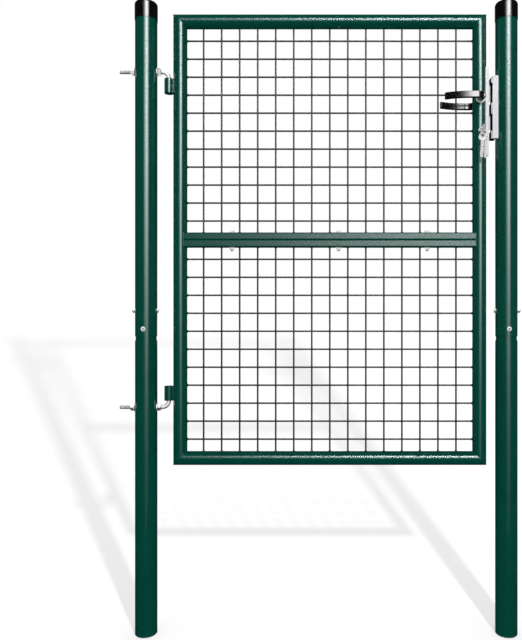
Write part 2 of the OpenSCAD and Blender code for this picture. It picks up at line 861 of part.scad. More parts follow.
// Rectangular passages for the two bolts
module keep_pockets() {
    w = bolt_w + 2 * pocket_clear;
    for (p = [[latch_z0, latch_h], [dead_z0, dead_h]])
        translate([keep_x - over, -w / 2, p[0] - pocket_clear])
            cube([post_r + keep_out, w, p[1] + 2 * pocket_clear]);
}

module keep_channel() {
    color("#b7bbbc") difference() {
        keep_body(post_r / 2);
        translate([post_spacing, 0, keep_z0 - over])
            cylinder(r = post_r + saddle_clear, h = keep_h + 2 * over);
        keep_hollow(0);
        keep_pockets();
        at_keep_screws() cylinder(d = 4.2 + 2 * hole_clear, h = post_r);
    }
}

module keep_insert() {
    w = keep_w - 2 * keep_wall - 0.2;
    color("#141517") difference() {
        union() {
            intersection() {
                keep_body(post_r / 2);
                keep_hollow(0.1);
            }
            translate([keep_x - insert_lip, -w / 2, keep_z0])
                cube([insert_lip + over, w, keep_h - 3]);
        }
        keep_pockets();
        // The lip stays clear of the bolts as the leaf swings past
        for (p = [[latch_z0, latch_h], [dead_z0, dead_h]])
            translate([keep_x - insert_lip - over, -keep_w / 2, p[0] - pocket_clear])
                cube([insert_lip + over, keep_w, p[1] + 2 * pocket_clear]);
        at_keep_screws() translate([0, 0, -insert_lip - over])
            cylinder(d = 9, h = 4.5 + insert_lip + over);
        at_keep_screws() cylinder(d = 4.2 + 2 * hole_clear, h = post_r);
    }
}

module keep_screws() {
    color("silver") at_keep_screws() union() {
        translate([0, 0, 1.9]) cylinder(d = 8, h = 2.6);
        translate([0, 0, 4]) cylinder(d = 4.2, h = keep_out + 6 - 4);
    }
}

// ---- Nodes ----

post_feet();
left_post_lower();
left_post_upper();
right_post_lower();
right_post_upper();
post_caps();
joint_screws();
joint_bolts();
joint_nuts();
upper_hinge_hook();
lower_hinge_hook();
hinge_nuts();
hinge_washers();
keep_channel();
keep_insert();
keep_screws();
top_rail();
upper_left_stile();
upper_right_stile();
upper_middle_bar();
bottom_rail();
lower_left_stile();
lower_right_stile();
lower_middle_bar();
upper_mesh();
lower_mesh();
middle_bolts();
middle_nuts();
middle_washers();
upper_hinge_barrel();
lower_hinge_barrel();
lock_case();
lock_faceplate();
faceplate_screws();
lock_cylinder();
rosettes();
front_lever();
rear_lever();
spindle();
latch_bolt();
dead_bolt();
lock_plug();
key();
key_ring();
spare_keys();
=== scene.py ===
import math

import bmesh
import bpy
from mathutils import Matrix, Vector


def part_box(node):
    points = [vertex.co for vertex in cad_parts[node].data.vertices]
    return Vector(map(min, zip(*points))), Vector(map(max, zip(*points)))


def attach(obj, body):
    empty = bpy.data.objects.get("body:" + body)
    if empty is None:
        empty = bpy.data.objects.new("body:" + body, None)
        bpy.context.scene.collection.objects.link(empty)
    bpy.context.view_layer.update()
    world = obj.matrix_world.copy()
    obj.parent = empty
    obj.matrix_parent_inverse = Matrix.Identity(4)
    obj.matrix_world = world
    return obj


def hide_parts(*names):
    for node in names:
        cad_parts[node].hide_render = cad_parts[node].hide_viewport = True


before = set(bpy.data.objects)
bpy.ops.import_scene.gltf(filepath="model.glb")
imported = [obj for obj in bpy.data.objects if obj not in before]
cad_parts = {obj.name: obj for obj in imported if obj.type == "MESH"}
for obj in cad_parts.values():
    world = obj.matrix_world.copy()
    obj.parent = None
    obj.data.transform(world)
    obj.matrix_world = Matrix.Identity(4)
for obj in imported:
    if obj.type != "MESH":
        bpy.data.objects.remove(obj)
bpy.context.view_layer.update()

mm = 0.001
TAU = 2 * math.pi


def put(name, data):
    """A new object with this mesh, curve, lamp or camera, linked into the scene."""
    o = bpy.data.objects.new(name, data)
    bpy.context.scene.collection.objects.link(o)
    return o


# ---- Materials -----------------------------------------------------------

def srgb(r, g, b):
    """A linear colour from 0-255 sRGB numbers."""
    def lin(v):
        v /= 255
        return v / 12.92 if v <= 0.04045 else ((v + 0.055) / 1.055) ** 2.4
    return (lin(r), lin(g), lin(b), 1.0)


def empty_material(name):
    """A material with nothing in its node tree yet."""
    m = bpy.data.materials.new(name)
    m.use_nodes = True
    m.node_tree.nodes.clear()
    return m


def add_node(t, kind, sockets, **settings):
    """Adds a node to the tree t. Each socket gets a value, or the output that feeds it."""
    n = t.nodes.new(kind)
    for name, value in settings.items():
        setattr(n, name, value)
    for key, value in sockets.items():
        if isinstance(value, bpy.types.NodeSocket):
            t.links.new(value, n.inputs[key])
        else:
            n.inputs[key].default_value = value
    return n


def finish(name, dark, light, scale, rough, relief, stretch=(1, 1, 1),
           spots=None, hollow_shade=None, **sockets):
    """A Principled material whose colour, roughness and relief come from noise
    in object space. relief is a list of (scale, height in metres); spots is
    (tone, scale, amount); hollow_shade is painted shade, darker where ambient
    occlusion finds hollows and places where pieces meet: (reach in metres, tone,
    and the openness at which the tone is full and at which it is gone)."""
    m = empty_material(name)
    t = m.node_tree
    coord = add_node(t, "ShaderNodeTexCoord", {}).outputs["Object"]
    mapping = add_node(t, "ShaderNodeMapping", {"Vector": coord, "Scale": stretch})

    def noise(size, detail, vector=mapping.outputs["Vector"], distortion=0.0):
        return add_node(t, "ShaderNodeTexNoise", {
            "Vector": vector, "Scale": size, "Detail": detail,
            "Distortion": distortion}).outputs["Fac"]

    def spread(value, low, high, start=0.3, end=0.7):
        return add_node(t, "ShaderNodeMapRange", {
            "Value": value, "From Min": start, "From Max": end,
            "To Min": low, "To Max": high}).outputs["Result"]

    def blend(factor, a, b):
        # 6 and 7 are the two colour sockets
        return add_node(t, "ShaderNodeMix", {"Factor": factor, 6: a, 7: b},
                        data_type="RGBA").outputs[2]

    both = add_node(t, "ShaderNodeMix", {
        "Factor": 0.35, "A": noise(scale, 5.0, distortion=0.4), "B": noise(scale * 23, 3.0)})
    colour = blend(spread(both.outputs["Result"], 0, 1), dark, light)
    if spots:
        tone, size, amount = spots
        mask = spread(noise(size, 6.0, coord), 0, amount, 0.58, 0.72)
        colour = blend(mask, colour, tone)
    if hollow_shade:
        # painted shade: the colour turns to the dark tone where ambient occlusion finds hollows and
        # places where pieces meet
        reach, tone, full, none = hollow_shade
        ao = add_node(t, "ShaderNodeAmbientOcclusion", {"Distance": reach}, samples=6)
        colour = blend(spread(ao.outputs["AO"], 1, 0, full, none), colour, tone)
    look = {"Base Color": colour, "Roughness": spread(noise(scale * 3.1, 4.0), *rough)}
    for size, height in relief:
        ridges = {"Strength": 1.0, "Distance": height, "Height": noise(size, 2.0)}
        if "Normal" in look:
            ridges["Normal"] = look["Normal"]
        look["Normal"] = add_node(t, "ShaderNodeBump", ridges).outputs["Normal"]
    for socket, value in sockets.items():
        look[socket.replace("_", " ")] = value
    bsdf = add_node(t, "ShaderNodeBsdfPrincipled", look)
    add_node(t, "ShaderNodeOutputMaterial", {"Surface": bsdf.outputs[0]})
    return m


green_paint = finish("green_paint", srgb(0, 56, 45), srgb(1, 64, 53), 9, (0.13, 0.2),
                     [(1300, 0.0000018), (3600, 0.0000004)], spots=(srgb(40, 92, 80), 140, 0.12),
                     Coat_Weight=1.0, Coat_Roughness=0.05, Specular_Tint=(0.8, 1.0, 1.0, 1.0))
green_wire = finish("green_wire", srgb(8, 30, 27), srgb(16, 40, 36), 30, (0.35, 0.5),
                    [(500, 0.00005), (2200, 0.00002)],
                    Coat_Weight=0.35, Coat_Roughness=0.2)
green_plastic = finish("green_plastic", srgb(9, 68, 57), srgb(16, 80, 67), 40, (0.4, 0.5),
                       [(900, 0.00004), (3000, 0.00002)])
black_plastic = finish("black_plastic", srgb(1, 1, 1), srgb(4, 4, 4), 30, (0.16, 0.26),
                       [(260, 0.00005), (1800, 0.00001)], Coat_Weight=1.0, Coat_IOR=1.62,
                       Coat_Roughness=0.07)
black_lever = finish("black_lever", srgb(3, 3, 4), srgb(8, 8, 9), 60, (0.2, 0.3),
                     [(700, 0.00003), (2600, 0.00001)], Coat_Weight=1.0, Coat_IOR=1.6,
                     Coat_Roughness=0.1)
# zinc_steel has painted shade in its hollows: darker in sockets, thread roots and where pieces meet
zinc_steel = finish("zinc_steel", srgb(196, 198, 198), srgb(228, 229, 227), 90, (0.2, 0.34),
                    [(900, 0.00002), (3200, 0.00001)], spots=(srgb(205, 203, 180), 300, 0.4),
                    hollow_shade=(0.004, srgb(10, 12, 11), 0.25, 0.7), Metallic=1.0)
lock_steel = finish("lock_steel", srgb(190, 190, 192), srgb(212, 212, 214), 40, (0.24, 0.32),
                    [(500, 0.000008)], stretch=(1, 1, 0.15), Metallic=1.0)
nickel = finish("nickel", srgb(160, 161, 160), srgb(205, 206, 204), 120, (0.16, 0.3),
                [(1500, 0.00001)], stretch=(1, 8, 1), Metallic=1.0)
# key_steel has painted shade in its hollows: darker where the ring meets the bows, in the holes and
# in the blade grooves
key_steel = finish("key_steel", srgb(170, 171, 174), srgb(226, 226, 228), 90, (0.12, 0.26),
                   [(1600, 0.00001)], stretch=(1, 1, 6),
                   hollow_shade=(0.006, srgb(14, 18, 17), 0.45, 0.9), Metallic=1.0)


# ---- Mesh building -------------------------------------------------------

def along(origin, direction, roll=0.0):
    """A matrix that puts local Z along direction at origin."""
    turn = Vector(direction).to_track_quat("Z", "Y").to_matrix().to_4x4()
    return Matrix.Translation(Vector(origin)) @ turn @ Matrix.Rotation(roll, 4, "Z")


def turned(radius, z, sides):
    """A closed row of points round local Z. radius and z are numbers, or functions
    of the point's number."""
    def at(value, j):
        return value(j) if callable(value) else value
    return [(at(radius, j) * math.cos(TAU * j / sides), at(radius, j) * math.sin(TAU * j / sides),
             at(z, j)) for j in range(sides)]


def hexagon_reach(af, steps):
    """How far a hexagon across flats af reaches from its centre, at each point of a
    row with steps points to a side."""
    return lambda j: af / 2 / math.cos((j / steps) % 1 * math.pi / 3 - math.pi / 6)


def write_clean(bm, me, merge):
    """Joins doubled points, turns the faces outward and writes the mesh."""
    bmesh.ops.remove_doubles(bm, verts=bm.verts, dist=merge)
    bmesh.ops.recalc_face_normals(bm, faces=bm.faces)
    bm.to_mesh(me)
    bm.free()


class Shape:
    """Vertices and faces gathered for one piece, in the row frame."""

    def __init__(self):
        self.verts, self.faces = [], []

    def rows(self, rows, place=None, loop=False):
        """Skins a list of closed rows of points. loop joins the last row to the
        first; otherwise the first and last rows are capped."""
        base, n, count = len(self.verts), len(rows[0]), len(rows)
        for row in rows:
            for p in row:
                p = Vector(p)
                self.verts.append(place @ p if place else p)
        for i in range(count if loop else count - 1):
            a, b = base + i * n, base + (i + 1) % count * n
            for j in range(n):
                k = (j + 1) % n
                self.faces.append((a + j, a + k, b + k, b + j))
        if not loop:
            self.faces.append(tuple(base + j for j in reversed(range(n))))
            self.faces.append(tuple(base + (count - 1) * n + j for j in range(n)))

    def lathe(self, profile, place=None, sides=48, loop=False):
        """Turns (radius, height) points about local Z."""
        self.rows([turned(r, z, sides) for r, z in profile], place, loop)

    def tube(self, path, radius, sides=12, loop=False):
        """A round rod along a path; radius is a number or a list, one for each point."""
        path = [Vector(p) for p in path]
        n = len(path)
        radii = radius if isinstance(radius, list) else [radius] * n
        rows, up = [], None
        for i, p in enumerate(path):
            a = path[i - 1] if i or loop else p
            b = path[(i + 1) % n] if i < n - 1 or loop else p
            t = (b - a).normalized()
            if up is None:
                up = t.orthogonal().normalized()
            up = (up - t * up.dot(t)).normalized()
            side = t.cross(up)
            rows.append([p + (up * math.cos(TAU * j / sides) + side * math.sin(TAU * j / sides))
                         * radii[i] for j in range(sides)])
        self.rows(rows, loop=loop)

    def hexagon(self, place, af, h, bore=None, steps=8):
        """A hexagon with its corners chamfered to arcs: a nut if bore is given,
        else a bolt head with a plain underside."""
        rim = 0.94 * af / 2
        reach = hexagon_reach(af, steps)

        def row(radius, z):
            return turned(radius, z, 6 * steps)

        def drop(j):
            return (reach(j) - rim) * math.tan(math.radians(30))

        top = [row(reach, lambda j: h - drop(j)), row(rim, h)]
        if bore:
            edge = 0.5 * mm
            self.rows([row(bore, edge), row(bore + edge, 0), row(rim, 0), row(reach, drop)] + top
                      + [row(bore + edge, h), row(bore, h - edge)], place, loop=True)
        else:
            dip = 0.35 * mm
            self.rows([row(rim, 0), row(rim, dip), row(reach, dip)] + top
                      + [row(0.55 * rim, h), row(0.5 * rim, h - 0.25 * mm)], place)

    def thread(self, place, r, z0, z1, pitch, sides=24):
        """A threaded rod from z0 to z1 on local Z, chamfered at z1."""
        depth = 0.54 * pitch
        steps = max(2, round((z1 - z0) / pitch * 6))
        rows = []
        for i in range(steps + 1):
            z = z0 + (z1 - z0) * i / steps
            most = r - max(0.0, depth * 1.2 - (z1 - z))

            def ridge(j):
                t = (z / pitch - j / sides) % 1
                return min(most, r - depth * min(1.0, max(0.0, abs(2 * t - 1) * 1.35 - 0.18)))

            rows.append(turned(ridge, z, sides))
        self.rows(rows, place)

    def washer(self, place, ro, ri, h):
        """A washer from outer radius ro to hole radius ri, h high, its rim rounded."""
        e = min(0.35 * mm, h * 0.3)
        self.lathe([(ri, 0), (ro - e, 0), (ro - e * 0.3, e * 0.3), (ro, e), (ro, h - e),
                    (ro - e * 0.3, h - e * 0.3), (ro - e, h), (ri + e, h), (ri, h - e)],
                   place, loop=True)

    def socket_head(self, place, profile, af, depth, steps=8):
        """A round head from (radius, height) points, rim first, with a deep hexagon
        socket across flats af."""
        sides = 6 * steps
        reach = hexagon_reach(af, steps)
        top, edge = profile[-1][1], 0.25 * mm
        rows = [turned(r, z, sides) for r, z in profile]
        rows += [turned(lambda j: reach(j) + edge, top, sides), turned(reach, top - edge, sides),
                 turned(reach, top - depth, sides),
                 turned(0.05 * af, top - depth - 0.25 * af, sides)]
        self.rows(rows, place)

    def cross_head(self, place, r, height, depth, rim, sides=72, rings=22):
        """A screw head with a cross recess. height(q) is its surface at q = radius / r,
        depth is how deep the cross goes and rim is the height of the rim's foot."""
        # all as shares of r: half the length of the cross, the half width of an arm
        # before it tapers, and the width of the slopes at its sides and its ends
        length, width, side_slope, end_slope = 0.55, 0.11, 0.045, 0.07
        rows = []
        for i in range(rings + 1):
            q = max(0.004, i / rings)
            row = []
            for j in range(sides):
                x, y = q * math.cos(TAU * j / sides), q * math.sin(TAU * j / sides)
                across, out = min(abs(x), abs(y)), max(abs(x), abs(y))
                half = width * (1.25 - out / length * 0.5)
                sunk = (min(1.0, max(0.0, (half - across) / side_slope))
                        * min(1.0, max(0.0, (length - out) / end_slope)))
                row.append((x * r, y * r, height(q) - depth * sunk))
            rows.append(row)
        rows.append([(p[0], p[1], rim) for p in rows[-1]])
        self.rows(rows, place)

    def piece(self, name, material, body, slot, nodes, angle=32):
        """Makes a piece of what has been gathered."""
        me = bpy.data.meshes.new(name)
        me.from_pydata([tuple(v) for v in self.verts], [], self.faces)
        bm = bmesh.new()
        bm.from_mesh(me)
        write_clean(bm, me, 1e-7)
        return piece(name, me, material, body, nodes, angle)


def piece(name, me, material, body, nodes, angle=32):
    """Makes a mesh a piece of this body, in place of the named CAD nodes. Edges
    sharper than angle, in degrees, stay sharp."""
    me.shade_smooth()
    me.set_sharp_from_angle(angle=math.radians(angle))
    me.materials.append(material)
    o = put(name, me)
    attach(o, body)
    if nodes:
        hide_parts(*nodes)
    return o


def box(node):
    """The lowest and highest corner of a CAD node."""
    lo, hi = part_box(node)
    return lo, hi


# ---- Sizes, and places taken from the frame --------------------------------

# hexagon fasteners: across flats, head and nut heights, rod radius, thread pitch,
# and the washer's outer radius, hole radius and height
M8_FLATS, M8_HEAD, M8_NUT, M8_R, M8_PITCH = 13 * mm, 5.3 * mm, 6.5 * mm, 4 * mm, 1.25 * mm
M8_WASHER = 8.5 * mm, 4.2 * mm, 1.6 * mm
M12_FLATS, M12_NUT, M12_R, M12_PITCH = 19 * mm, 10 * mm, 6 * mm, 1.75 * mm
M12_WASHER = 12 * mm, 6.2 * mm, 2.5 * mm
# a nut's bore stays this much inside its rod, so no gap shows
NUT_BITE = 0.05 * mm

POST_R = 30 * mm
POST_XS = 0.0, 1.0
FRAME_R = 19 * mm
left_x = box("upper_left_stile")[0].x + FRAME_R
right_x = box("upper_right_stile")[1].x - FRAME_R
top_rail_z = box("top_rail")[1].z - FRAME_R
low_rail_z = box("bottom_rail")[0].z + FRAME_R
bar_top = box("upper_middle_bar")[1].z
bar_low = box("lower_middle_bar")[0].z


# ---- Painted frame: CAD nodes, with welds added ----------------------------

for material, names in (
        (green_paint, ("left_post_lower", "left_post_upper", "right_post_lower",
                       "right_post_upper", "top_rail", "upper_left_stile", "upper_right_stile",
                       "upper_middle_bar", "bottom_rail", "lower_left_stile",
                       "lower_right_stile", "lower_middle_bar", "upper_hinge_barrel",
                       "lower_hinge_barrel")),
        (green_plastic, ("post_feet",)),
        (black_plastic, ("post_caps", "keep_insert")),
        (lock_steel, ("keep_channel", "lock_case", "spindle")),
        (nickel, ("lock_plug", "lock_cylinder"))):
    for name in names:
        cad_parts[name].data.materials.clear()
        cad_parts[name].data.materials.append(material)

welds = Shape()


def bead(path, r, loop=False):
    """A weld bead with the small ripples of its passes."""
    ripple, pitch = 0.16, 1.6 * mm
    path = [Vector(p) for p in path]
    run, radii, last = 0.0, [], path[0]
    for p in path:
        run += (p - last).length
        last = p
        wave = abs(math.sin(math.pi * run / pitch))
        radii.append(r * (1 - ripple + ripple * wave))
    welds.tube(path, radii, 10, loop)


CORNER_BEAD, BAR_BEAD, BARREL_BEAD = 0.95 * mm, 1.3 * mm, 1.7 * mm
for sx, cx in ((-1, left_x), (1, right_x)):
    # round the mitres at the leaf's corners
    q = FRAME_R - 0.55 * mm
    for sz, cz in ((1, top_rail_z), (-1, low_rail_z)):
        bead([(cx + sx * q * math.sin(t), -q * math.cos(t), cz + sz * q * math.sin(t))
              for t in (TAU * i / 220 for i in range(220))], CORNER_BEAD, loop=True)

    # middle bars on the stiles
    def on_stile(y):
        return cx - sx * (math.sqrt(FRAME_R ** 2 - y * y) + 0.1 * mm)

    half = 14 * mm
    for z in (bar_top, bar_low):
        ys = [-half + 2 * half * i / 32 for i in range(33)]
        bead([(on_stile(y), y, z) for y in ys], BAR_BEAD)
    for y in (-15 * mm, 15 * mm):
        bead([(on_stile(y), y * 0.99, bar_low + (bar_top - bar_low) * i / 40)
              for i in range(41)], BAR_BEAD)
for node in ("upper_hinge_barrel", "lower_hinge_barrel"):
    lo, hi = box(node)
    # in the two grooves between the barrel and the stile, 1 mm short of its ends
    x, end = lo.x + 24.6 * mm, 1 * mm
    for y in (-4.7 * mm, 4.7 * mm):
        bead([(x, y, lo.z + end + (hi.z - lo.z - 2 * end) * i / 60) for i in range(61)],
             BARREL_BEAD)
welds.piece("frame_welds", green_paint, "leaf", "green_paint", [], 60)


# ---- Welded mesh -----------------------------------------------------------

WIRE_R = 2.4 * mm
# the two layers' axes lie this far from the leaf's middle plane
LAYER = 2.16 * mm
PITCH, LEAST_MARGIN = 50 * mm, 30 * mm
# a wire's weld to the frame: (distance from its end, radius as a share of the wire's)
WIRE_FOOT = [(0, 1.75), (0.6 * mm, 1.6), (1.3 * mm, 1.32), (2.4 * mm, 1.12), (4.5 * mm, 1.0)]
# the weld nugget where two wires cross: (radius, height) in mm
NUGGET = [(0.3, -1.15), (1.7, -0.95), (2.35, -0.45), (2.55, 0), (2.35, 0.45), (1.7, 0.95),
          (0.3, 1.15)]


def mesh_panel(node, low, high):
    """Crossing wires in a panel from low to high between the two stiles."""
    lo, hi = box(node)
    x0, x1 = left_x + FRAME_R, right_x - FRAME_R
    nx = int((x1 - x0 - 2 * LEAST_MARGIN) / PITCH + 1e-6)
    nz = int((high - low - 2 * LEAST_MARGIN) / PITCH + 1e-6)
    xs = [(x0 + x1 - nx * PITCH) / 2 + i * PITCH for i in range(nx + 1)]
    zs = [(low + high - nz * PITCH) / 2 + i * PITCH for i in range(nz + 1)]
    wires = Shape()

    def wire(a, b):
        a, b = Vector(a), Vector(b)
        d = (b - a).normalized()
        n, length = 12, (b - a).length
        path = [a + d * s for s, _ in WIRE_FOOT]
        path += [a + d * (length * i / n) for i in range(1, n)]
        path += [b - d * s for s, _ in reversed(WIRE_FOOT)]
        foot = [WIRE_R * k for _, k in WIRE_FOOT]
        wires.tube(path, foot + [WIRE_R] * (n - 1) + foot[::-1], 12)

    for x in xs:
        wire((x, -LAYER, lo.z), (x, -LAYER, hi.z))
    for z in zs:
        wire((lo.x, LAYER, z), (hi.x, LAYER, z))
    for x in xs:
        for z in zs:
            place = Matrix.Translation((x, 0, z)) @ Matrix.Rotation(math.pi / 2, 4, "X")
            wires.lathe([(r * mm, h * mm) for r, h in NUGGET], place, 10)
    wires.piece(node + "_wires", green_wire, "leaf", "green_wire", [node], 50)


mesh_panel("upper_mesh", bar_top, top_rail_z - FRAME_R)
mesh_panel("lower_mesh", low_rail_z + FRAME_R, bar_low)


# ---- Hinge hooks, nuts and washers -----------------------------------------

BARREL_R, STUD_BEND = 12.5 * mm, 18 * mm
# how far the thread reaches from the post's axis on the leaf's side
THREAD_END = 36 * mm
hinge_x = box("upper_hinge_barrel")[0].x + BARREL_R
stud_zs = box("upper_hinge_hook")[1].z - M12_R, box("lower_hinge_hook")[0].z + M12_R
for node, stud, turn in (("upper_hinge_hook", stud_zs[0], -1), ("lower_hinge_hook", stud_zs[1], 1)):
    lo, hi = box(node)
    end = lo.z if turn < 0 else hi.z
    hook = Shape()
    # the threaded stretch, chamfered at its free end behind the post
    hook.thread(along((0, 0, stud), (-1, 0, 0)), M12_R, -THREAD_END, -lo.x, M12_PITCH, 28)
    # the plain rod starts in the thread's end, bends and runs into the barrel
    path = [(THREAD_END - 0.5 * mm, 0, stud), (THREAD_END + 0.2 * mm, 0, stud),
            (hinge_x - STUD_BEND, 0, stud)]
    radii = [5.5 * mm, M12_R, M12_R]
    for i in range(1, 17):
        a = math.pi / 2 * i / 16
        path.append((hinge_x - STUD_BEND + STUD_BEND * math.sin(a), 0,
                     stud + turn * STUD_BEND * (1 - math.cos(a))))
        radii.append(M12_R - 0.12 * mm * math.sin(2 * a))
    for back, radius in ((1.2 * mm, M12_R), (0.4 * mm, 5.7 * mm), (0, 5.0 * mm)):
        path.append((hinge_x, 0, end - turn * back))
        radii.append(radius)
    hook.tube(path, radii, 28)
    hook.piece(node + "_rod", zinc_steel, "posts", "zinc_steel", [node], 40)

nuts, washers = Shape(), Shape()
for z in stud_zs:
    for side in (-1, 1):
        nuts.hexagon(along((side * (POST_R + M12_WASHER[2]), 0, z), (side, 0, 0)),
                     M12_FLATS, M12_NUT, M12_R - NUT_BITE)
        washers.washer(along((side * POST_R, 0, z), (side, 0, 0)), *M12_WASHER)
nuts.piece("stud_nuts", zinc_steel, "posts", "zinc_steel", ["hinge_nuts"], 28)
washers.piece("stud_washers", zinc_steel, "posts", "zinc_steel", ["hinge_washers"], 40)


# ---- Bolts and screws of the posts -------------------------------------------

cross_z = (box("joint_bolts")[0].z + box("joint_bolts")[1].z) / 2
# where the thread starts, before the post's axis, and how far it stands out of the post
CROSS_THREAD, CROSS_END = 28 * mm, 9 * mm
bolts, nuts = Shape(), Shape()
for x, side in zip(POST_XS, (-1, 1)):
    place = along((x, 0, cross_z), (side, 0, 0))
    bolts.hexagon(place @ Matrix.Translation((0, 0, -POST_R)) @ Matrix.Rotation(math.pi, 4, "X"),
                  M8_FLATS, M8_HEAD)
    bolts.thread(place, M8_R, -CROSS_THREAD, POST_R + CROSS_END, M8_PITCH)
    nuts.hexagon(place @ Matrix.Translation((0, 0, POST_R)), M8_FLATS, M8_NUT, M8_R - NUT_BITE)
bolts.piece("cross_bolts", zinc_steel, "posts", "zinc_steel", ["joint_bolts"], 28)
nuts.piece("cross_nuts", zinc_steel, "posts", "zinc_steel", ["joint_nuts"], 28)

screw_z = (box("joint_screws")[0].z + box("joint_screws")[1].z) / 2
# flange, then the rounded button on it: (radius, height) in mm above the post
flange = [(6.5, -1.5), (6.5, 0.7), (6.3, 1.0), (5.9, 1.15), (5.3, 1.2), (4.7, 1.35)]
button = [(4.6 - 1.6 * (1 - math.cos(t)), 1.35 + 1.85 * math.sin(t))
          for t in (math.pi / 2 * i / 8 for i in range(1, 9))]
SOCKET_FLATS, SOCKET_DEPTH = 4.4 * mm, 5.5 * mm
screws = Shape()
for x in POST_XS:
    screws.socket_head(along((x, -POST_R, screw_z), (0, -1, 0), 0.4),
                       [(r * mm, z * mm) for r, z in flange + button],
                       SOCKET_FLATS, SOCKET_DEPTH)
screws.piece("flange_screws", zinc_steel, "posts", "zinc_steel", ["joint_screws"], 35)


# ---- Middle bolts --------------------------------------------------------------

BAR_BOLT_XS = 238 * mm, 534 * mm, 780 * mm
end = box("middle_bolts")[0].z
top = box("middle_bolts")[1].z - M8_HEAD
nut_z = box("middle_nuts")[0].z
bolts, nuts, washers = Shape(), Shape(), Shape()
for x in BAR_BOLT_XS:
    bolts.hexagon(Matrix.Translation((x, 0, top)), M8_FLATS, M8_HEAD)
    bolts.thread(along((x, 0, top), (0, 0, -1)), M8_R, 0, top - end, M8_PITCH)
    nuts.hexagon(Matrix.Translation((x, 0, nut_z)) @ Matrix.Rotation(0.5, 4, "Z"),
                 M8_FLATS, M8_NUT, M8_R - NUT_BITE)
    for z in (bar_top, bar_low - M8_WASHER[2]):
        washers.washer(Matrix.Translation((x, 0, z)), *M8_WASHER)
bolts.piece("bar_bolts", zinc_steel, "leaf", "zinc_steel", ["middle_bolts"], 28)
nuts.piece("bar_nuts", zinc_steel, "leaf", "zinc_steel", ["middle_nuts"], 28)
washers.piece("bar_washers", zinc_steel, "leaf", "zinc_steel", ["middle_washers"], 40)


# ---- Lock: faceplate, screws, rosettes, bolts -------------------------------------

def evaluated(o):
    """A new mesh of the object as its modifiers or its curve settings shape it."""
    bpy.context.view_layer.update()
    shaped = o.evaluated_get(bpy.context.evaluated_depsgraph_get())
    return bpy.data.meshes.new_from_object(shaped)


def plate(name, outline, holes, thickness, place, bevel, material, body, nodes):
    """A flat plate from 2-D loops, with rounded edges: a filled curve made into a mesh."""
    c = bpy.data.curves.new(name, "CURVE")
    c.dimensions = "2D"
    c.fill_mode = "BOTH"
    c.extrude = thickness / 2 - bevel
    c.bevel_depth = bevel
    c.bevel_resolution = 2
    c.offset = -bevel
    for loop in [outline] + holes:
        s = c.splines.new("POLY")
        s.points.add(len(loop) - 1)
        for p, q in zip(s.points, loop):
            p.co = (q[0], q[1], 0, 1)
        s.use_cyclic_u = True
    holder = put(name, c)
    me = evaluated(holder)
    bpy.data.objects.remove(holder)
    me.name = name
    me.transform(place)
    bm = bmesh.new()
    bm.from_mesh(me)
    write_clean(bm, me, 1e-6)
    me.materials.clear()
    return piece(name, me, material, body, nodes, 40)


def rounded(w, h, r, cy, steps=8):
    """A rectangle w by h with corners of radius r, its centre at (0, cy)."""
    pts = []
    for sx, sy, start in ((1, 1, 0), (-1, 1, 90), (-1, -1, 180), (1, -1, 270)):
        for i in range(steps + 1):
            a = math.radians(start + 90 * i / steps)
            pts.append((sx * (w / 2 - r) + r * math.cos(a),
                        cy + sy * (h / 2 - r) + r * math.sin(a)))
    return pts


def circle(r, cy, n=48):
    """A circle of radius r about (0, cy)."""
    return [(r * math.cos(TAU * i / n), cy + r * math.sin(TAU * i / n)) for i in range(n)]


# local x is row Y, local y is row Z, local z is row X
toward_x = Matrix(((0, 0, 1, 0), (1, 0, 0, 0), (0, 1, 0, 0), (0, 0, 0, 1)))

lo, hi = box("lock_faceplate")
latch_lo, latch_hi = box("latch_bolt")
dead_lo, dead_hi = box("dead_bolt")
PLATE_W, PLATE_CORNER, PLATE_EDGE = 24 * mm, 2.5 * mm, 0.5 * mm
SLOT_W, SLOT_PLAY, SLOT_R = 12.8 * mm, 0.8 * mm, 0.6 * mm
# the two screws: their distance from the plate's ends, their radius and their hole's
SCREW_IN, SCREW_R, SCREW_HOLE_R = 12 * mm, 4.2 * mm, 4.3 * mm
screw_zs = (lo.z + SCREW_IN, hi.z - SCREW_IN)
holes = [rounded(SLOT_W, b.z - a.z + SLOT_PLAY, SLOT_R, (b.z + a.z) / 2)
         for a, b in ((latch_lo, latch_hi), (dead_lo, dead_hi))]
holes += [circle(SCREW_HOLE_R, z) for z in screw_zs]
outline = rounded(PLATE_W, hi.z - lo.z, PLATE_CORNER, (lo.z + hi.z) / 2)
deep = hi.x - lo.x
plate("faceplate_plate", outline, holes, deep,
      Matrix.Translation((hi.x - deep / 2, 0, 0)) @ toward_x, PLATE_EDGE,
      lock_steel, "leaf", ["lock_faceplate"])

screws = Shape()
for z in screw_zs:
    # nearly flat, and a little below the plate's face
    screws.cross_head(along((hi.x - 0.45 * mm, 0, z), (1, 0, 0), 0.3), SCREW_R,
                      lambda q: 0.12 * mm * (1 - q ** 8), depth=1.5 * mm, rim=-2.2 * mm)
screws.piece("faceplate_screw_heads", zinc_steel, "leaf", "zinc_steel", ["faceplate_screws"], 35)

spindle_z = (box("spindle")[0].z + box("spindle")[1].z) / 2
# (radius, distance from the leaf's middle plane) in mm
rosette = [(6.1, 12), (12.5, 12), (12.5, 21.5), (12.2, 22.2), (11.5, 22.5), (9.6, 22.5),
           (9.3, 22.2), (6.4, 22.2), (6.1, 21.9)]
discs = Shape()
for side in (-1, 1):
    discs.lathe([(r * mm, y * mm) for r, y in rosette],
                along((right_x, 0, spindle_z), (0, side, 0)), 64, loop=True)
discs.piece("rosette_discs", lock_steel, "leaf", "lock_steel", ["rosettes"], 35)


